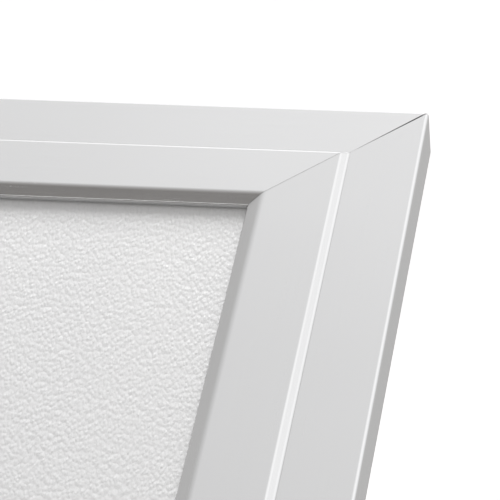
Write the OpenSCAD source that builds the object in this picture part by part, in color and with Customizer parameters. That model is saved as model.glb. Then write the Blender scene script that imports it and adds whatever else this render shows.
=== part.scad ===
// Folding sandwich board: two mitred aluminium snap frames hinged at the top.
// Front frame faces -Y, width along X, Z up, origin on the floor under the hinge line.

/* [Poster] */
// Poster width
poster_w = 594; // [420:1:720]
// Poster height
poster_h = 841; // [594:1:1030]
// How far the lip of a snap cover covers the poster edge
lip_overlap = 8.5; // [6:0.5:12]

/* [Profile] */
// Thickness of a frame profile from back to outer band
profile_t = 10.6; // [9.6:0.1:14]
// Wall thickness of the base extrusion
wall = 1.4; // [1.2:0.1:1.8]
// Distance from outer edge to the centre of the cover hinge
bead_u = 16.6; // [14:0.1:20]
// Room for the leaf springs between the cover hinge and the poster edge
spring_room = 2.5; // [1.5:0.1:4]
// Height of the cover face above the outer band
step_h = 1.1; // [0.8:0.1:1.4]
// Mitre clearance of one cover end
mitre_gap = 0.1; // [0.05:0.01:0.3]
// How far a snap cover swings open
cover_open = 68; // [40:1:68]

/* [Stance] */
// Lean of each frame from upright when standing open
lean = 18.5; // [12:0.5:24]
// Closed gap between the backs of the two frames
back_gap = 12; // [11:0.5:16]
// Hinge line below the top edges
hinge_drop = 12; // [10:0.5:14]
// Smallest thickness of a foot
foot_t = 3.2; // [2:0.1:6]

/* [Hinges and stays] */
// Distance of a hinge from the side edge of the frame
hinge_inset = 150.5; // [125:0.5:185]
// Radius of a hinge pin
pin_r = 2; // [1.5:0.1:2.2]
// Distance of the stay pivots below the hinge line
stay_drop = 390; // [300:5:450]
// Width of a stay bar
stay_w = 16; // [12:1:20]
// Thickness of a stay bar
stay_t = 2.5; // [2:0.1:3]
// Running clearance on pins
run_fit = 0.05; // [0.02:0.01:0.08]

/* [Hidden] */
$fn = 48;

// how far a cutter runs past a face
over = 1;

// pivot bead of a cover and its socket in the base
bead_v = -1.7;
bead_r = 3.05;
socket_fit = 0.1;
socket_r = bead_r + socket_fit;
socket_wall = 1.25;
socket_end = bead_u + socket_r + socket_wall;

// profile width from outer edge to lip end, and the overall frame
sheet_u = socket_end + spring_room;
profile_w = sheet_u + lip_overlap;
frame_w = poster_w + 2 * sheet_u;
frame_h = poster_h + 2 * sheet_u;
edge_r = 0.7;

// face plate and step of a cover
toe_u = bead_u - sqrt(bead_r * bead_r - bead_v * bead_v);
step_run = 1.65;
step_u = toe_u + step_run;
plate_t = 1.4;
relief_w = 5;
relief_end = 0.5;

// lip of a cover
lip_run = 2.7;
lip_v = -0.12;
lip_low = -0.95;
lip_round = 3;
lip_w = 1.6;
lip_slope = atan((step_h - lip_v) / lip_run);
bend_u = profile_w - lip_run;
arc_u = bend_u - lip_round * tan(lip_slope / 2);

// sheet stack
sheet_t = 0.5;
paper_t = 0.3;
panel_t = 2.4;
sheet_v = -1;
ledge_v = sheet_v - sheet_t - paper_t - panel_t;
ledge_end = profile_w - 1;
inner_wall_u = bead_u + 5.4;

// leaf springs
spring_t = 0.5;
spring_h = -0.5;
spring_reach = 5;
spring_side = 0.2;
spring_len = 24;
spring_inset = 80;

// hinge frame: axis on the middle plane, frame face plane at face_y
face_y = -(back_gap / 2 + profile_t);
back_y = -back_gap / 2;
low_z = hinge_drop - frame_h;
mid_z = hinge_drop - frame_h / 2;
axis_h = -low_z * cos(lean) + back_y * sin(lean) + foot_t;

// feet
foot_w = 40;
foot_inset = 150;
foot_side = 1;

// hinge
hinge_x = frame_w / 2 - hinge_inset;
knuckle_r = 3.7;
leaf_t = 2;
leaf_half = 42;
leaf_up = 7;
leaf_down = 9;
leaf_face = back_y + leaf_t;
knuckle_l = 7.7;
knuckle_pitch = 8.1;
knuckle_neck = 5.2;
pin_head_r = pin_r + 0.8;
pin_head_t = 1.2;
leaf_screw_x = 31;
leaf_screw_z = -1;

// pan head screws
screw_r = 2;
screw_fit = 0.05;
head_r = 3.6;
head_top_r = 3.1;
head_h = 1.8;
drive_l = 4.4;
drive_w = 0.8;
drive_v = 1;

// key screws
key_u0 = wall + 0.1;
key_u1 = bead_u - socket_r - socket_wall - 0.3;
key_v0 = -profile_t + wall + 0.1;
key_v1 = -wall - 0.1;
key_len = 70;
key_screw_at = 45;
key_grip = 3.5;
key_screw_u = (key_u0 + key_u1) / 2;

// stays
stay_y = back_y - profile_t / 2;
stay_len = -stay_y * cos(lean) + stay_drop * sin(lean);
rivet_r = 2.5;
rivet_fit = 0.06;
rivet_shop_r = profile_t / 2 - wall - 0.3;
rivet_head_r = 5;
rivet_top_r = 4;
rivet_head_t = 1.4;
rivet_play = 0.3;
button_r = 4.2;
button_t = 1.2;
spacer_r = 6;
stay_gap = 0.8;
stay_x1 = frame_w / 2 + stay_gap;
stay_x2 = stay_x1 + stay_t + 2 * rivet_play;
stay_z = axis_h - stay_y * sin(lean) - stay_drop * cos(lean);

// placing helpers -----------------------------------------------------------

// frame standing in the front position, hinge axis as local origin
module in_front() {
    translate([0, 0, axis_h])
        rotate([-lean, 0, 0])
            children();
}

// same frame turned round for the rear position
module in_rear() {
    rotate([0, 0, 180])
        in_front()
            children();
}

// outer edge of side k (0 top, 1 right, 2 bottom, 3 left), face plane at y = 0
module at_edge(k) {
    translate([0, face_y, mid_z])
        rotate([0, 90 * k, 0])
            translate([0, 0, k % 2 == 0 ? frame_h / 2 : frame_w / 2])
                children();
}

// length of the frame edge on side k
function edge_len(k) = k % 2 == 0 ? frame_w : frame_h;

// section drawn in (u, v) swept along the edge
module sweep(len) {
    rotate([180, 90, 0])
        linear_extrude(len, center = true)
            children();
}

// wedge ended prism that leaves a mitre at both ends
module mitre_block(len, gap) {
    d = profile_w + 6;
    a = len / 2 - gap;
    rotate([90, 0, 0])
        linear_extrude(60, center = true)
            polygon([[-a - 1, 1], [a + 1, 1], [a - d, -d], [d - a, -d]]);
}

// material outside a rounded corner, s and t point into the material
module corner_off(u, v, s, t, r) {
    translate([u, v])
        difference() {
            translate([s > 0 ? -1 : -r, t > 0 ? -1 : -r])
                square(r + 1);
            translate([s * r, t * r])
                circle(r);
        }
}

// sections -------------------------------------------------------------------

// fixed base extrusion
module base_section() {
    difference() {
        union() {
            translate([0, -profile_t])
                square([wall, profile_t]);
            translate([0, -wall])
                square([toe_u, wall]);
            translate([0, -profile_t])
                square([inner_wall_u, wall]);
            translate([inner_wall_u - wall, -profile_t])
                square([wall, profile_t + ledge_v]);
            translate([bead_u + 2.9, ledge_v - wall])
                square([ledge_end - bead_u - 2.9, wall]);
            difference() {
                translate([bead_u, bead_v])
                    circle(socket_r + socket_wall);
                translate([bead_u - profile_w / 2, 0])
                    square(profile_w);
                translate([bead_u, bead_v])
                    square(profile_w);
            }
        }
        translate([bead_u, bead_v])
            circle(socket_r);
        corner_off(0, 0, 1, -1, edge_r);
        corner_off(0, -profile_t, 1, 1, edge_r);
        corner_off(inner_wall_u, -profile_t, -1, 1, edge_r);
    }
}

// face plate of a snap cover, bent down to its lip
module plate_section() {
    bend = [for (i = [0 : 5])
        [arc_u + lip_round * sin(lip_slope * i / 5),
         step_h - lip_round + lip_round * cos(lip_slope * i / 5)]];
    polygon(concat([[bead_u, step_h]], bend,
        [[profile_w, lip_v], [profile_w, lip_low], [profile_w - lip_w, lip_low],
         [bend_u - 0.4, step_h - plate_t], [bead_u, step_h - plate_t]]));
}

// pivot bead of a snap cover with the step down to the outer band
module bead_section() {
    difference() {
        translate([bead_u, bead_v])
            circle(bead_r);
        polygon([[toe_u - 2 * step_run, -2 * step_h], [step_u, step_h], [bead_u + 4, step_h],
                 [bead_u + 4, 4], [toe_u - 2 * step_run, 4]]);
    }
}

// lower part of the bead, taken off near the mitres so neighbours swing free
module bead_relief() {
    k = tan(cover_open / 2);
    polygon([[bead_u - relief_w, bead_v + relief_w * k], [bead_u, bead_v],
             [bead_u + relief_w, bead_v], [bead_u + relief_w, bead_v - relief_w],
             [bead_u - relief_w, bead_v - relief_w]]);
}

// leaf spring pressing up on a cover
module spring_section() {
    u = socket_end + 0.3;
    foot_u = sheet_u - spring_side;
    foot_v = ledge_v + spring_t;
    top_v = spring_h - 0.8 * spring_t;
    polygon([[u, ledge_v], [foot_u, ledge_v], [foot_u, foot_v],
             [u + spring_t, foot_v], [u + spring_t, top_v], [u + spring_reach, top_v],
             [u + spring_reach, spring_h], [u, spring_h]]);
}

// frame pieces in the hinge frame ---------------------------------------------

// screw hole through the back wall, along the section depth
module back_hole(x, u, r) {
    translate([x, profile_t - wall - over, -u])
        rotate([-90, 0, 0])
            cylinder(h = wall + 2 * over, r = r);
}

module rail(k) {
    len = edge_len(k);
    at_edge(k)
        difference() {
            intersection() {
                sweep(len)
                    base_section();
                mitre_block(len, mitre_gap / 2);
            }
            for (s = [-1, 1])
                back_hole(s * (len / 2 - key_screw_at), key_screw_u, screw_r + screw_fit);
            if (k == 0)
                for (s = [-1, 1], t = [-1, 1])
                    back_hole(s * hinge_x + t * leaf_screw_x, hinge_drop - leaf_screw_z,
                              screw_r + screw_fit);
            if (k % 2 == 1)
                translate([(k == 1 ? 1 : -1) * (mid_z + stay_drop), profile_t / 2, -wall - over])
                    cylinder(h = wall + 2 * over, r = rivet_r + screw_fit);
        }
}

module cover(k) {
    len = edge_len(k);
    keep = len / 2 - bead_u - bead_r - relief_end;
    cut = profile_w;
    at_edge(k)
        difference() {
            intersection() {
                union() {
                    sweep(len)
                        plate_section();
                    sweep(len)
                        bead_section();
                }
                mitre_block(len, mitre_gap);
            }
            for (s = [-1, 1])
                translate([s * (keep + cut / 2), 0, 0])
                    sweep(cut)
                        bead_relief();
        }
}

// outline of a flat sheet in the frame, v0 to v1 above the face plane
module sheet(v0, v1) {
    translate([-poster_w / 2, face_y - v1, mid_z - poster_h / 2])
        cube([poster_w, v1 - v0, poster_h]);
}

module corner_key() {
    difference() {
        union() {
            translate([-key_len, -key_v1, -key_u1])
                cube([key_len - key_u0, key_v1 - key_v0, key_u1 - key_u0]);
            translate([-key_u1, -key_v1, -key_len])
                cube([key_u1 - key_u0, key_v1 - key_v0, key_len - key_u0]);
        }
        for (p = [[-key_screw_at, -key_screw_u], [-key_screw_u, -key_screw_at]])
            translate([p[0], -key_v0 - key_grip - 1.5, p[1]])
                rotate([-90, 0, 0])
                    cylinder(h = key_grip + 1.5 + over, r = screw_r + screw_fit);
    }
}

module corner_keys() {
    for (k = [0 : 3])
        at_edge(k)
            translate([edge_len(k) / 2, 0, 0])
                corner_key();
}

// pan head screw pointing to -y, seat of the head at y = 0
module pan_screw(len) {
    rotate([90, 0, 0])
        cylinder(h = len, r = screw_r);
    difference() {
        rotate([-90, 0, 0])
            cylinder(h = head_h, r1 = head_r, r2 = head_top_r);
        for (a = [0, 90])
            rotate([0, a, 0])
                translate([-drive_l / 2, drive_v, -drive_w / 2])
                    cube([drive_l, head_h, drive_w]);
    }
}

module key_screws() {
    for (k = [0 : 3], s = [-1, 1])
        at_edge(k)
            translate([s * (edge_len(k) / 2 - key_screw_at), profile_t, -key_screw_u])
                pan_screw(wall + key_grip);
}

module springs() {
    for (k = [0 : 3]) {
        n = k % 2 == 0 ? 3 : 4;
        pitch = (edge_len(k) - 2 * spring_inset) / (n - 1);
        for (i = [0 : n - 1])
            at_edge(k)
                translate([(i - (n - 1) / 2) * pitch, 0, 0])
                    sweep(spring_len)
                        spring_section();
    }
}

// wedge foot under the bottom rail, flat on the floor
module foot_pad(x) {
    y0 = back_y - profile_t + foot_side;
    y1 = back_y - foot_side;
    floor_at = [for (y = [y0, y1]) (-axis_h + y * sin(lean)) / cos(lean)];
    translate([x - foot_w / 2, 0, 0])
        rotate([90, 0, 90])
            linear_extrude(foot_w)
                polygon([[y0, low_z], [y1, low_z], [y1, floor_at[1]], [y0, floor_at[0]]]);
}

module feet() {
    for (s = [-1, 1])
        foot_pad(s * (frame_w / 2 - foot_inset));
}

// hinge ------------------------------------------------------------------------

// leaf on the back of a top rail with knuckles on the axis
module hinge_leaf(x, slots) {
    translate([x, 0, 0])
        difference() {
            union() {
                translate([-leaf_half, back_y, -leaf_down])
                    cube([2 * leaf_half, leaf_t, leaf_down + leaf_up]);
                for (i = slots)
                    translate([i * knuckle_pitch - knuckle_l / 2, 0, 0]) {
                        rotate([0, 90, 0])
                            cylinder(h = knuckle_l, r = knuckle_r);
                        translate([0, leaf_face - 0.5, -knuckle_neck / 2])
                            cube([knuckle_l, -leaf_face + 0.5, knuckle_neck]);
                    }
            }
            rotate([0, 90, 0])
                cylinder(h = 2 * leaf_half, r = pin_r + run_fit, center = true);
            for (t = [-1, 1])
                translate([t * leaf_screw_x, back_y - over, leaf_screw_z])
                    rotate([-90, 0, 0])
                        cylinder(h = leaf_t + 2 * over, r = screw_r + screw_fit);
        }
}

module hinge_pin(x) {
    reach = 2.5 * knuckle_pitch;
    translate([x - reach, 0, axis_h])
        rotate([0, 90, 0])
            cylinder(h = 2 * reach, r = pin_r);
    for (s = [-1, 1])
        translate([x + s * (reach + pin_head_t / 2), 0, axis_h])
            rotate([0, 90, 0])
                cylinder(h = pin_head_t, r = pin_head_r, center = true);
}

module hinge_screws() {
    for (s = [-1, 1], t = [-1, 1])
        translate([s * hinge_x + t * leaf_screw_x, leaf_face, leaf_screw_z])
            pan_screw(leaf_t + wall + 2);
}

// stays -------------------------------------------------------------------------

// flat bar from the frame pivot to the middle, half of the middle rivet on one face
module stay_bar(x, dir, out) {
    translate([x, 0, stay_z]) {
        difference() {
            union() {
                translate([0, dir > 0 ? -stay_len : 0, -stay_w / 2])
                    cube([stay_t, stay_len, stay_w]);
                for (y = [0, -dir * stay_len])
                    translate([0, y, 0])
                        rotate([0, 90, 0])
                            cylinder(h = stay_t, r = stay_w / 2);
            }
            translate([-over, -dir * stay_len, 0])
                rotate([0, 90, 0])
                    cylinder(h = stay_t + 2 * over, r = rivet_r + rivet_fit);
        }
        translate([out > 0 ? stay_t - 0.2 : -button_t, 0, 0])
            rotate([0, 90, 0])
                cylinder(h = button_t + 0.2, r = button_r);
    }
}

// rivet through a side wall, head beyond a bar that ends at x1
module stay_rivet(x1) {
    x0 = frame_w / 2 - wall;
    translate([0, stay_y, -stay_drop])
        rotate([0, 90, 0]) {
            translate([0, 0, x0 - 1])
                cylinder(h = 1, r = rivet_shop_r);
            translate([0, 0, x0 - 0.5])
                cylinder(h = x1 + rivet_play - x0 + 0.6, r = rivet_r);
            translate([0, 0, x1 + rivet_play])
                cylinder(h = rivet_head_t, r1 = rivet_head_r, r2 = rivet_top_r);
        }
}

// pieces --------------------------------------------------------------------------

module front_rail_top() { color("silver") in_front() rail(0); }
module front_rail_right() { color("silver") in_front() rail(1); }
module front_rail_bottom() { color("silver") in_front() rail(2); }
module front_rail_left() { color("silver") in_front() rail(3); }
module front_cover_top() { color("lightgray") in_front() cover(0); }
module front_cover_right() { color("lightgray") in_front() cover(1); }
module front_cover_bottom() { color("lightgray") in_front() cover(2); }
module front_cover_left() { color("lightgray") in_front() cover(3); }
module front_corner_keys() { color("gray") in_front() corner_keys(); }
module front_key_screws() { color("dimgray") in_front() key_screws(); }
module front_springs() { color("slategray") in_front() springs(); }
module front_back_panel() { color("gainsboro") in_front() sheet(ledge_v, ledge_v + panel_t); }
module front_poster() { color("white") in_front() sheet(ledge_v + panel_t, sheet_v - sheet_t); }
module front_sheet() { color("whitesmoke") in_front() sheet(sheet_v - sheet_t, sheet_v); }
module front_feet() { color("black") in_front() feet(); }

module rear_rail_top() { color("silver") in_rear() rail(0); }
module rear_rail_right() { color("silver") in_rear() rail(1); }
module rear_rail_bottom() { color("silver") in_rear() rail(2); }
module rear_rail_left() { color("silver") in_rear() rail(3); }
module rear_cover_top() { color("lightgray") in_rear() cover(0); }
module rear_cover_right() { color("lightgray") in_rear() cover(1); }
module rear_cover_bottom() { color("lightgray") in_rear() cover(2); }
module rear_cover_left() { color("lightgray") in_rear() cover(3); }
module rear_corner_keys() { color("gray") in_rear() corner_keys(); }
module rear_key_screws() { color("dimgray") in_rear() key_screws(); }
module rear_springs() { color("slategray") in_rear() springs(); }
module rear_back_panel() { color("gainsboro") in_rear() sheet(ledge_v, ledge_v + panel_t); }
module rear_poster() { color("white") in_rear() sheet(ledge_v + panel_t, sheet_v - sheet_t); }
module rear_sheet() { color("whitesmoke") in_rear() sheet(sheet_v - sheet_t, sheet_v); }
module rear_feet() { color("black") in_rear() feet(); }

module front_hinge_leaf_left() { color("gray") in_front() hinge_leaf(-hinge_x, [-2, 0, 2]); }
module front_hinge_leaf_right() { color("gray") in_front() hinge_leaf(hinge_x, [-2, 0, 2]); }
module rear_hinge_leaf_left() { color("gray") in_rear() hinge_leaf(hinge_x, [-1, 1]); }
module rear_hinge_leaf_right() { color("gray") in_rear() hinge_leaf(-hinge_x, [-1, 1]); }
module hinge_pin_left() { color("dimgray") hinge_pin(-hinge_x); }
module hinge_pin_right() { color("dimgray") hinge_pin(hinge_x); }
module front_hinge_screws() { color("dimgray") in_front() hinge_screws(); }
module rear_hinge_screws() { color("dimgray") in_rear() hinge_screws(); }

module front_stay_right() { color("darkgray") stay_bar(stay_x1, 1, -1); }
module rear_stay_right() { color("darkgray") stay_bar(stay_x2, -1, 1); }
module front_stay_left() { color("darkgray") mirror([1, 0, 0]) stay_bar(stay_x1, 1, -1); }
module rear_stay_left() { color("darkgray") mirror([1, 0, 0]) stay_bar(stay_x2, -1, 1); }

module front_stay_rivets() {
    color("dimgray")
        in_front() {
            stay_rivet(stay_x1 + stay_t);
            mirror([1, 0, 0])
                stay_rivet(stay_x1 + stay_t);
        }
}

module rear_stay_rivets() {
    color("dimgray")
        in_rear() {
            stay_rivet(stay_x2 + stay_t);
            mirror([1, 0, 0])
                stay_rivet(stay_x2 + stay_t);
        }
}

module rear_stay_spacers() {
    color("dimgray")
        in_rear()
            for (s = [-1, 1])
                translate([s * (frame_w / 2 + stay_x2 - rivet_play) / 2, stay_y, -stay_drop])
                    rotate([0, 90, 0])
                        difference() {
                            cylinder(h = stay_x2 - rivet_play - frame_w / 2, r = spacer_r,
                                     center = true);
                            cylinder(h = 2 * stay_x2 - frame_w, r = rivet_r + run_fit,
                                     center = true);
                        }
}

front_rail_top();
front_rail_right();
front_rail_bottom();
front_rail_left();
front_cover_top();
front_cover_right();
front_cover_bottom();
front_cover_left();
front_corner_keys();
front_key_screws();
front_springs();
front_back_panel();
front_poster();
front_sheet();
front_feet();
rear_rail_top();
rear_rail_right();
rear_rail_bottom();
rear_rail_left();
rear_cover_top();
rear_cover_right();
rear_cover_bottom();
rear_cover_left();
rear_corner_keys();
rear_key_screws();
rear_springs();
rear_back_panel();
rear_poster();
rear_sheet();
rear_feet();
front_hinge_leaf_left();
front_hinge_leaf_right();
rear_hinge_leaf_left();
rear_hinge_leaf_right();
hinge_pin_left();
hinge_pin_right();
front_hinge_screws();
rear_hinge_screws();
front_stay_left();
front_stay_right();
rear_stay_left();
rear_stay_right();
front_stay_rivets();
rear_stay_rivets();
rear_stay_spacers();
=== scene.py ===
import math

import bmesh
import bpy
from mathutils import Matrix, Vector
from mathutils.geometry import tessellate_polygon


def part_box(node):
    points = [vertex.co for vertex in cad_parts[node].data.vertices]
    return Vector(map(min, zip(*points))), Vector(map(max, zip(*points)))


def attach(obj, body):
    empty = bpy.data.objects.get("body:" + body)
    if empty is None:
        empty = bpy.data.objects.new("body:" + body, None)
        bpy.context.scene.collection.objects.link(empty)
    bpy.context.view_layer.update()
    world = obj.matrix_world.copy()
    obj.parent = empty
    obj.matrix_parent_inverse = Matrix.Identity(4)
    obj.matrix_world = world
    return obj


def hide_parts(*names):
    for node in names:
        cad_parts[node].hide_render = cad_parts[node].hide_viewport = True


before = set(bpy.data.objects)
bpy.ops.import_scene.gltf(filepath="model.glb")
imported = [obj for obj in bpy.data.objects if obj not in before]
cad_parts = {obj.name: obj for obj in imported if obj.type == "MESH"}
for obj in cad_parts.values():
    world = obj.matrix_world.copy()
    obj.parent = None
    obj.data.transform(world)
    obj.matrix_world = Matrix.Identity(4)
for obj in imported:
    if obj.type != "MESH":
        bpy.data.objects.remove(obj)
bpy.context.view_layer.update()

# ---- sizes, in metres where no other unit is given ------------------------------------

MM = 0.001
LEAN = math.radians(18.5)          # each frame leans this far from upright
HINGE_DROP = 12 * MM               # hinge line below the top edges
THICK = 10.6                       # profile, back to outer band, in mm
BACK_Y = -6 * MM                   # back of a frame, from the hinge line
FACE_Y = BACK_Y - THICK * MM       # outer band plane, from the hinge line
FRAME_W = 641 * MM
FRAME_H = 888 * MM
SIDES = ["top", "right", "bottom", "left"]

pin_low, pin_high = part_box("hinge_pin_left")
AXIS_H = (pin_low.z + pin_high.z) / 2


def stance(side):
    """Matrix from the hinge frame of the front or rear frame to the row frame."""
    turn = Matrix.Rotation(math.pi if side == "rear" else 0, 4, "Z")
    return turn @ Matrix.Translation((0, 0, AXIS_H)) @ Matrix.Rotation(-LEAN, 4, "X")


def edge(side, k):
    """Matrix from a rail's own frame (x along, z out to the edge, -y out of the face)."""
    out = (FRAME_H if k % 2 == 0 else FRAME_W) / 2
    centre = Matrix.Translation((0, FACE_Y, HINGE_DROP - FRAME_H / 2))
    round_to_side = Matrix.Rotation(k * math.pi / 2, 4, "Y")
    return stance(side) @ centre @ round_to_side @ Matrix.Translation((0, 0, out))


def edge_length(k):
    """Outer length of a rail."""
    return FRAME_W if k % 2 == 0 else FRAME_H


# ---- profile sections, in millimetres: u inward from the outer edge, v out of the face ---

WALL = 1.4
BODY_U = 22.0                      # inner face of the hollow body
LEDGE_U = 31.0                     # end of the ledge under the poster
LEDGE_TOP = -4.2
LEDGE_BASE = -5.6
BEAD = Vector((16.6, -1.7))        # pivot of a snap cover
BEAD_R = 3.05
SOCKET_R = 3.07
RING_R = 4.4                       # outside of the socket's wall
STEP_H = 1.1                       # cover face above the outer band
STEP_ROUND = 0.8                   # both bends of the step
BEVEL_U = 29.3                     # start of the bevel
LIP_U = 32.0                       # end of the lip
LIP_TOP = -0.12
LIP_BASE = -0.95
LIP_FOOT = 1.6                     # width of the flat under the lip's end
UNDER_BEND = 0.4                   # bend of the underside, this far outward of the bevel's
TOE_U = BEAD.x - math.sqrt(BEAD_R ** 2 - BEAD.y ** 2)   # seam between outer band and cover
SEAM_ROOM = 0.02
COVER_OPEN = 68                    # degrees a cover flips
MITRE_GAP = (0.26, 0.02)           # room of one base end at a mitre, outside and inside
COVER_GAP = (0.05, 0.05)           # room of one cover end at a mitre
NO_GAP = (0, 0)
BEAD_STOP = 20.5                   # the bead ends this far from a corner


def arc(centre, r, a0, a1, n):
    """Points on an arc, angles in degrees."""
    angles = [math.radians(a0 + (a1 - a0) * i / n) for i in range(n + 1)]
    return [(centre[0] + r * math.cos(a), centre[1] + r * math.sin(a)) for a in angles]


def rounded(corners, step=7):
    """Closed outline from (u, v, radius) corners, each rounded by its radius."""
    out = []
    n = len(corners)
    for i, (u, v, r) in enumerate(corners):
        p = Vector((u, v))
        if r <= 0:
            out.append((u, v))
            continue
        a = (Vector(corners[i - 1][:2]) - p).normalized()
        b = (Vector(corners[(i + 1) % n][:2]) - p).normalized()
        half = a.angle(b) / 2
        reach = r / math.tan(half)
        centre = p + (a + b).normalized() * (r / math.sin(half))
        start, end = p + a * reach - centre, p + b * reach - centre
        sweep = start.angle_signed(end)
        count = max(2, math.ceil(abs(math.degrees(sweep)) / step))
        for j in range(count + 1):
            t = -sweep * j / count
            c, s = math.cos(t), math.sin(t)
            out.append((centre.x + c * start.x - s * start.y, centre.y + s * start.x + c * start.y))
    return out


def sharp(points):
    """Corners without a radius."""
    return [(u, v, 0) for u, v in points]


def base_loops():
    """Outer outline and closed chamber of the fixed base extrusion."""
    seam = math.asin(-BEAD.y / SOCKET_R)
    past_seam = 180 - math.degrees(seam) + 3
    at_ledge = -math.degrees(math.asin((BEAD.y - LEDGE_TOP) / RING_R))
    outer = [(0, 0, 0.7), (BEAD.x - SOCKET_R * math.cos(seam), 0, 0)]
    outer += sharp(arc(BEAD, SOCKET_R, past_seam, 360, 36))
    outer += sharp(arc(BEAD, RING_R, 0, at_ledge, 6))
    outer += [(LEDGE_U, LEDGE_TOP, 0.3), (LEDGE_U, LEDGE_BASE, 0.3), (BODY_U, LEDGE_BASE, 0.2)]
    outer += [(BODY_U, -THICK, 0.7), (0, -THICK, 0.7)]
    at_face_wall = 176
    at_ledge_base = 270 + math.degrees(math.acos((BEAD.y - LEDGE_BASE) / RING_R))
    chamber = [(WALL, -WALL, 0.3)]
    chamber += sharp(arc(BEAD, RING_R, at_face_wall, at_ledge_base, 24))
    chamber += [(BODY_U - WALL, LEDGE_BASE, 0.2), (BODY_U - WALL, WALL - THICK, 0.3)]
    chamber += [(WALL, WALL - THICK, 0.3)]
    return [rounded(outer), rounded(chamber)]


def step_curve(slope=42, n=7):
    """Step from the outer band up to the cover face: a hollow bend, a slope and a round bend."""
    r = STEP_ROUND
    start = TOE_U + SEAM_ROOM
    low = arc((start, r), r, -90, -90 + slope, n)
    c, s = math.cos(math.radians(slope)), math.sin(math.radians(slope))
    straight = (STEP_H - 2 * r * (1 - c)) / s
    top_u = start + 2 * r * s + straight * c
    high = arc((top_u, STEP_H - r), r, 90 + slope, 90, n)
    return sharp(low + high)


def cover_loops():
    """Face plate, lip and upper half of the bead of a snap cover."""
    under = STEP_H - WALL
    root = math.degrees(math.asin((under - BEAD.y) / BEAD_R))
    plate = [(TOE_U, 0, 0)] + step_curve() + [(BEVEL_U, STEP_H, 3.0), (LIP_U, LIP_TOP, 0.35)]
    plate += [(LIP_U, LIP_BASE, 0.12), (LIP_U - LIP_FOOT, LIP_BASE, 0.1)]
    plate += [(BEVEL_U - UNDER_BEND, under, 0.5)]
    plate += sharp(arc(BEAD, BEAD_R, root, 0, 8)) + [(BEAD.x, BEAD.y, 0)]
    return [rounded(plate, 3)]


def bead_loops():
    """Lower part of the bead, which stops short of the mitres and overlaps the upper half."""
    toe = 180 - COVER_OPEN / 2
    overlap = 0.05
    return [arc(BEAD, BEAD_R, 0, toe - 360, 40) + [(BEAD.x, BEAD.y + overlap)]]


# ---- mesh helpers ----------------------------------------------------------------------


def swept(name, side, k, parts):
    """One object from sections swept along a rail. Parts are (loops, gap, cut): a cut of None
    leaves mitred ends, and a number leaves square ends that far from the corner."""
    half = edge_length(k) / 2
    m = edge(side, k)
    verts, faces = [], []
    for loops, gap, cut in parts:
        base = len(verts)
        flat = [p for loop in loops for p in loop]
        for sign in (-1, 1):
            for u, v in flat:
                open_by = gap[0] + (gap[1] - gap[0]) * min(1, u / TOE_U)
                x = half - (u + open_by if cut is None else cut) * MM
                verts.append(m @ Vector((sign * x, -v * MM, -u * MM)))
        n = len(flat)
        at = 0
        for loop in loops:
            for i in range(len(loop)):
                a, b = base + at + i, base + at + (i + 1) % len(loop)
                faces.append((a, b, b + n, a + n))
            at += len(loop)
        caps = tessellate_polygon([[Vector((u, v, 0)) for u, v in loop] for loop in loops])
        faces += [(base + a, base + c, base + b) for a, b, c in caps]
        faces += [(base + n + a, base + n + b, base + n + c) for a, b, c in caps]
    return solid(name, verts, faces)


def solid(name, verts, faces):
    """An object from points and faces, with its faces turned outward."""
    mesh = bpy.data.meshes.new(name)
    mesh.from_pydata([tuple(v) for v in verts], [], faces)
    bm = bmesh.new()
    bm.from_mesh(mesh)
    bmesh.ops.recalc_face_normals(bm, faces=bm.faces)
    bm.to_mesh(mesh)
    bm.free()
    obj = bpy.data.objects.new(name, mesh)
    bpy.context.scene.collection.objects.link(obj)
    return obj


# ---- materials ---------------------------------------------------------------------------


def new_material(name, color, metallic=0.0, roughness=0.5):
    """Principled material with its numbers on the shader's own sockets."""
    mat = bpy.data.materials.new(name)
    mat.use_nodes = True
    shader = mat.node_tree.nodes["Principled BSDF"]
    shader.inputs["Base Color"].default_value = (*color, 1)
    shader.inputs["Metallic"].default_value = metallic
    shader.inputs["Roughness"].default_value = roughness
    return mat, mat.node_tree, shader


def add(tree, kind, **settings):
    """New node: each setting is one of its sockets or one of its properties."""
    node = tree.nodes.new(kind)
    for key, value in settings.items():
        if key in node.inputs:
            node.inputs[key].default_value = value
        else:
            setattr(node, key, value)
    return node


def coords(tree, turn, scale):
    """Object coordinates turned about X and scaled for a grain direction."""
    tex = add(tree, "ShaderNodeTexCoord")
    turned = add(tree, "ShaderNodeMapping")
    turned.inputs["Rotation"].default_value = (turn, 0, 0)
    tree.links.new(tex.outputs["Object"], turned.inputs["Vector"])
    scaled = add(tree, "ShaderNodeMapping")
    scaled.inputs["Scale"].default_value = scale
    tree.links.new(turned.outputs["Vector"], scaled.inputs["Vector"])
    return scaled.outputs["Vector"]


def ramp(tree, source, low, high, start=0.0, end=1.0):
    """Maps a value between two numbers."""
    node = add(tree, "ShaderNodeMapRange")
    node.inputs["From Min"].default_value = start
    node.inputs["From Max"].default_value = end
    node.inputs["To Min"].default_value = low
    node.inputs["To Max"].default_value = high
    tree.links.new(source, node.inputs["Value"])
    return node.outputs["Result"]


def tint(tree, factor, dark, light):
    """Colour between two tones by a factor."""
    node = add(tree, "ShaderNodeMix", data_type="RGBA")
    node.inputs[6].default_value = (*dark, 1)
    node.inputs[7].default_value = (*light, 1)
    tree.links.new(factor, node.inputs[0])
    return node.outputs[2]


def bump(tree, shader, height, strength, distance):
    """Relief from a height, on the shader's normal."""
    node = add(tree, "ShaderNodeBump")
    node.inputs["Strength"].default_value = strength
    node.inputs["Distance"].default_value = distance
    tree.links.new(height, node.inputs["Height"])
    tree.links.new(node.outputs["Normal"], shader.inputs["Normal"])


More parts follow.
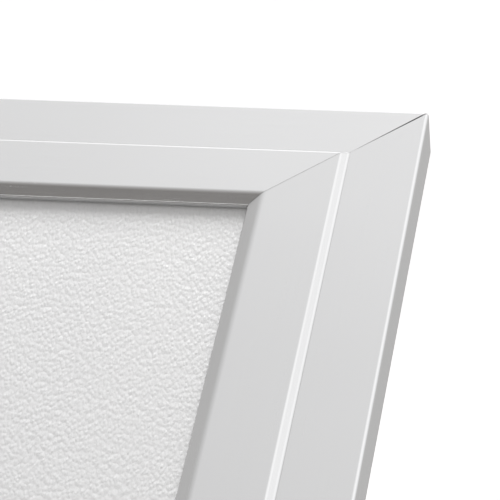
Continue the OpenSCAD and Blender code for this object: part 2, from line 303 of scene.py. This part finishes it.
def noise(tree, vector, scale, detail=3.0, rough=0.55):
    """Even noise from 0 to 1."""
    node = add(tree, "ShaderNodeTexNoise", Scale=scale, Detail=detail, Roughness=rough)
    tree.links.new(vector, node.inputs["Vector"])
    return node.outputs["Fac"]


def anodised(name, along, tone, turn=0.0):
    """Satin silver anodised extrusion with faint streaks along its length; tone is its darkest
    colour level, and turn lines the streaks up with a leaning frame."""
    mat, tree, shader = new_material(name, (0.8, 0.8, 0.81), metallic=1.0, roughness=0.3)
    stretch = (0.012, 1, 1) if along == "x" else (1, 1, 0.012)
    streaks = noise(tree, coords(tree, turn, stretch), 2600, 2.0)
    grain = noise(tree, coords(tree, 0, (1, 1, 1)), 5200, 2.0)
    cloud = noise(tree, coords(tree, 0, (1, 1, 1)), 9, 3.0)
    mixed = add(tree, "ShaderNodeMath", operation="ADD")
    tree.links.new(ramp(tree, streaks, 0, 0.55, 0.3, 0.7), mixed.inputs[0])
    tree.links.new(ramp(tree, grain, 0, 0.45, 0.3, 0.7), mixed.inputs[1])
    dark = (tone, tone, tone + 0.005)
    light = (tone + 0.03, tone + 0.03, tone + 0.035)
    shade = tint(tree, ramp(tree, cloud, 0, 1, 0.3, 0.7), dark, light)
    tree.links.new(shade, shader.inputs["Base Color"])
    tree.links.new(ramp(tree, mixed.outputs[0], 0.22, 0.28), shader.inputs["Roughness"])
    bump(tree, shader, mixed.outputs[0], 0.25, 0.004 * MM)
    return mat


def pebbled(name, turn):
    """Clear anti-glare sheet over a white poster: fine pebbles, longer up the sheet."""
    mat, tree, shader = new_material(name, (0.8, 0.8, 0.8), roughness=0.22)
    vector = coords(tree, turn, (1, 1, 0.5))
    cells = add(
        tree, "ShaderNodeTexVoronoi", feature="SMOOTH_F1", Scale=1500.0, Smoothness=0.35,
    )
    tree.links.new(vector, cells.inputs["Vector"])
    fine = noise(tree, vector, 2600, 2.0)
    height = add(tree, "ShaderNodeMath", operation="SUBTRACT")
    tree.links.new(ramp(tree, fine, 0, 0.6), height.inputs[0])
    tree.links.new(cells.outputs["Distance"], height.inputs[1])
    cloud = noise(tree, vector, 14, 2.0)
    blotches = ramp(tree, cloud, 0, 1, 0.3, 0.7)
    shade = tint(tree, blotches, (0.515, 0.515, 0.52), (0.55, 0.55, 0.55))
    tree.links.new(shade, shader.inputs["Base Color"])
    bump(tree, shader, height.outputs[0], 0.85, 0.11 * MM)
    return mat


def plain(name, color, roughness, scale, depth, metallic=0.0, spread=0.08):
    """Simple surface with fine grain, slight colour change and uneven gloss."""
    mat, tree, shader = new_material(name, color, metallic=metallic, roughness=roughness)
    vector = coords(tree, 0, (1, 1, 1))
    grain = noise(tree, vector, scale, 3.0)
    cloud = noise(tree, vector, scale / 40, 3.0)
    dark = tuple(c * (1 - spread) for c in color)
    light = tuple(min(1, c * (1 + spread)) for c in color)
    shade = tint(tree, ramp(tree, cloud, 0, 1, 0.3, 0.7), dark, light)
    tree.links.new(shade, shader.inputs["Base Color"])
    gloss = ramp(tree, grain, roughness - 0.07, roughness + 0.07, 0.3, 0.7)
    tree.links.new(gloss, shader.inputs["Roughness"])
    bump(tree, shader, grain, 0.4, depth)
    return mat


def paint(node, mat):
    """Gives a CAD node its material."""
    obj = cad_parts[node]
    obj.data.materials.clear()
    obj.data.materials.append(mat)


WELD = 0.002 * MM                  # points this near become one
FLAT_ANGLE = math.radians(1)       # faces this near to flat become one
SHARP_ANGLE = math.radians(30)     # edges past this are rounded


def softened(node, body, mat, width, segments=2):
    """Copy of a CAD node with its sharp edges rounded, which stands for the node."""
    bm = bmesh.new()
    bm.from_mesh(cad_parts[node].data)
    bmesh.ops.remove_doubles(bm, verts=bm.verts, dist=WELD)
    bmesh.ops.dissolve_limit(bm, angle_limit=FLAT_ANGLE, verts=bm.verts, edges=bm.edges)
    joined = [e for e in bm.edges if len(e.link_faces) == 2]
    sharp_edges = [e for e in joined if e.calc_face_angle() > SHARP_ANGLE]
    bmesh.ops.bevel(
        bm, geom=sharp_edges, offset=width, offset_type="OFFSET", segments=segments,
        profile=0.5, affect="EDGES", clamp_overlap=True,
    )
    bmesh.ops.triangulate(bm, faces=[f for f in bm.faces if len(f.verts) > 4])
    mesh = bpy.data.meshes.new(node + "_piece")
    bm.to_mesh(mesh)
    bm.free()
    piece = bpy.data.objects.new(node + "_piece", mesh)
    bpy.context.scene.collection.objects.link(piece)
    mesh.materials.append(mat)
    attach(piece, body)
    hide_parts(node)


MAT = {
    # painted sheen: the rails across get a lighter tone (0.88) than the stiles (0.84) of the same
    # metal, standing in for the brighter reflection that the rails show
    "along_x": anodised("anodised_across", "x", 0.88),
    "front_up": anodised("anodised_front_up", "z", 0.84, LEAN),
    "rear_up": anodised("anodised_rear_up", "z", 0.84, -LEAN),
    "front_sheet": pebbled("pebbled_front_sheet", LEAN),
    "rear_sheet": pebbled("pebbled_rear_sheet", -LEAN),
    "panel": plain("back_panel_board", (0.80, 0.80, 0.79), 0.55, 900, 0.02 * MM, spread=0.03),
    "paper": plain("poster_paper", (0.9, 0.9, 0.9), 0.6, 1500, 0.01 * MM, spread=0.02),
    "cast": plain("cast_key", (0.45, 0.45, 0.46), 0.55, 1200, 0.03 * MM, metallic=1.0),
    "zinc": plain("zinc_steel", (0.62, 0.62, 0.63), 0.36, 1600, 0.01 * MM, metallic=1.0),
    "spring": plain("spring_steel", (0.30, 0.31, 0.33), 0.4, 1600, 0.01 * MM, metallic=1.0),
    "rubber": plain("foot_rubber", (0.035, 0.035, 0.036), 0.75, 1500, 0.04 * MM, spread=0.2),
}

# ---- pieces ------------------------------------------------------------------------------

for side in ("front", "rear"):
    for k, place in enumerate(SIDES):
        metal = MAT["along_x"] if k % 2 == 0 else MAT[side + "_up"]
        rail = swept(f"{side}_{place}_profile", side, k, [(base_loops(), MITRE_GAP, None)])
        cover = swept(
            f"{side}_{place}_snap_cover", side, k,
            [(cover_loops(), COVER_GAP, None), (bead_loops(), NO_GAP, BEAD_STOP)],
        )
        for obj, body, node, slot in (
            (rail, f"{side}_frame", f"{side}_rail_{place}", "profile_aluminium"),
            (cover, f"{side}_cover_{place}_body", f"{side}_cover_{place}", "cover_aluminium"),
        ):
            obj.data.materials.append(metal)
            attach(obj, body)
            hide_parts(node)
    own = side + "_frame"
    paint(f"{side}_corner_keys", MAT["cast"])
    paint(f"{side}_springs", MAT["spring"])
    paint(f"{side}_poster", MAT["paper"])
    paint(f"{side}_sheet", MAT[f"{side}_sheet"])
    softened(f"{side}_back_panel", own, MAT["panel"], 0.3 * MM)
    softened(f"{side}_key_screws", own, MAT["zinc"], 0.15 * MM)
    softened(f"{side}_hinge_screws", own, MAT["zinc"], 0.15 * MM)
    softened(f"{side}_stay_rivets", own, MAT["zinc"], 0.25 * MM)
    softened(f"{side}_feet", own, MAT["rubber"], 0.8 * MM, 3)
    for hand in ("left", "right"):
        softened(f"{side}_hinge_leaf_{hand}", own, MAT["zinc"], 0.3 * MM)
        stay = f"{side}_stay_{hand}"
        softened(stay, stay + "_body", MAT["zinc"], 0.4 * MM)
for hand in ("left", "right"):
    softened(f"hinge_pin_{hand}", "front_frame", MAT["zinc"], 0.2 * MM)
softened("rear_stay_spacers", "rear_frame", MAT["zinc"], 0.3 * MM)

# ---- camera: close on the bottom left corner of the front frame ---------------------------

tilt = stance("front").to_3x3()
ACROSS = tilt @ Vector((1, 0, 0))      # along the bottom rail, away from the corner
UP_PANEL = tilt @ Vector((0, 0, 1))    # up the left stile
OUTWARD = tilt @ Vector((0, -1, 0))    # out of the face
corner = stance("front") @ Vector((-FRAME_W / 2, FACE_Y, HINGE_DROP - FRAME_H))

LENS = 258.3                           # in mm
SENSOR = 36                            # in mm
EYE = (-83.4, 571.5, 433.2)            # from the corner, in mm
PICTURE_RIGHT = (-0.9857, -0.1525, -0.0715)
PICTURE_DOWN = (-0.0412, 0.6302, -0.7754)


def on_panel(amounts):
    """Vector from its amounts along ACROSS, UP_PANEL and OUTWARD."""
    across, up, out = amounts
    return across * ACROSS + up * UP_PANEL + out * OUTWARD


eye = corner + MM * on_panel(EYE)
right = on_panel(PICTURE_RIGHT)
down = on_panel(PICTURE_DOWN)
forward = right.cross(down)
cam_data = bpy.data.cameras.new("photo_camera")
cam_data.lens = LENS
cam_data.sensor_width = SENSOR
cam_data.clip_start = 0.02
cam_data.clip_end = 40
camera = bpy.data.objects.new("photo_camera", cam_data)
view = Matrix((right.normalized(), -down.normalized(), -forward.normalized())).transposed()
camera.matrix_world = Matrix.Translation(eye) @ view.to_4x4()
bpy.context.scene.collection.objects.link(camera)
bpy.context.scene.camera = camera

# ---- stage ---------------------------------------------------------------------------------


def area_light(name, place, aim, size, power):
    """Soft light out of the camera's sight, with its size in metres and power in watts."""
    data = bpy.data.lights.new(name, "AREA")
    data.shape = "RECTANGLE"
    data.size, data.size_y = size
    data.energy = power
    obj = bpy.data.objects.new(name, data)
    obj.location = place
    obj.rotation_euler = (Vector(aim) - Vector(place)).to_track_quat("-Z", "Y").to_euler()
    obj.visible_camera = False
    bpy.context.scene.collection.objects.link(obj)
    return obj


LOW = (0.10, -0.96, 0.265)             # way to the low lights, on the panel
TABLE_FAR = 1.3                        # distance from the corner
GLINT_FAR = 1.2


def table_lights(side, power):
    """Low light from beyond the bottom edge, on the pebbled sheet of one side only: a soft one
    and a strip for glints."""
    spin = Matrix.Rotation(math.pi if side == "rear" else 0, 3, "Z")
    low = on_panel(LOW).normalized()
    sheet_only = bpy.data.collections.new(f"{side}_sheet_only")
    sheet_only.objects.link(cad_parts[f"{side}_sheet"])
    aim = spin @ corner
    soft_place = spin @ (corner + TABLE_FAR * low)
    soft = area_light(f"{side}_light_table", soft_place, aim, (0.55, 0.34), power)
    soft.visible_glossy = False
    glint_place = spin @ (corner + GLINT_FAR * low)
    glint = area_light(f"{side}_glint_strip", glint_place, aim, (0.8, 0.25), 14)
    glint.visible_diffuse = False
    for light in (soft, glint):
        light.light_linking.receiver_collection = sheet_only


def lobe(tree, direction, inner, outer, strength):
    """Part of the room light, full within one angle of a direction and none past another."""
    tex = add(tree, "ShaderNodeTexCoord")
    dot = add(tree, "ShaderNodeVectorMath", operation="DOT_PRODUCT")
    dot.inputs[1].default_value = Vector(direction).normalized()
    tree.links.new(tex.outputs["Generated"], dot.inputs[0])
    near, far = math.cos(math.radians(inner)), math.cos(math.radians(outer))
    return ramp(tree, dot.outputs["Value"], 0, strength, far, near)


ROOM_LEVEL = 0.51                      # room light where no lobe reaches


def soft_world():
    """Even room light, brighter from low in front and from below, and dim above the front."""
    world = bpy.data.worlds.new("studio")
    world.use_nodes = True
    tree = world.node_tree
    parts = [
        lobe(tree, (-0.42, -0.72, -0.55), 10, 60, 0.56),     # wide, low in front: faces, risers
        lobe(tree, (-0.30, -0.79, -0.54), 4, 24, 0.06),      # bends of the stile's step
        lobe(tree, (0.12, -0.40, -0.90), 5, 28, 0.50),       # step of the bottom rail
        lobe(tree, (0.14, -0.75, 0.65), 52, 76, -0.345),     # dim front: lip of the bottom rail
    ]
    level = add(tree, "ShaderNodeValue")
    level.outputs[0].default_value = ROOM_LEVEL
    for part in parts:
        total = add(tree, "ShaderNodeMath", operation="ADD")
        tree.links.new(level.outputs[0], total.inputs[0])
        tree.links.new(part, total.inputs[1])
        level = total
    background = tree.nodes["Background"]
    tree.links.new(level.outputs[0], background.inputs["Strength"])
    warmth = ramp(tree, level.outputs[0], 0, 1, 0.1, 0.6)
    tree.links.new(tint(tree, warmth, (1, 0.95, 0.9), (1, 1, 1)), background.inputs["Color"])
    bpy.context.scene.world = world


def studio_floor():
    """Plain pale floor that the metal doesn't mirror and that lets the low lights through."""
    mat, _, shader = new_material("pale_floor", (0.86, 0.86, 0.86), roughness=0.8)
    shader.inputs["Emission Color"].default_value = (1, 1, 1, 1)
    shader.inputs["Emission Strength"].default_value = 0.62
    half = 25.0
    corners = [(-half, -half, 0), (half, -half, 0), (half, half, 0), (-half, half, 0)]
    floor = solid("studio_floor", corners, [(0, 1, 2, 3)])
    floor.data.materials.append(mat)
    floor.visible_glossy = False
    floor.visible_shadow = False


soft_world()
studio_floor()
table_lights("front", 50)
table_lights("rear", 16)
area_light("front_softbox", (0, -3.2, 2.45), (0, 0, 0.5), (5.0, 1.5), 21)
area_light("back_softbox", (1.6, 3.4, 2.2), (0, 0, 0.4), (4.0, 2.2), 20)
overhead = area_light("overhead_softbox", (-0.5, -0.6, 2.6), (0, 0, 0.3), (2.2, 2.2), 12)
overhead.visible_glossy = False

bpy.context.scene.view_settings.view_transform = "Standard"
bpy.context.scene.view_settings.look = "None"
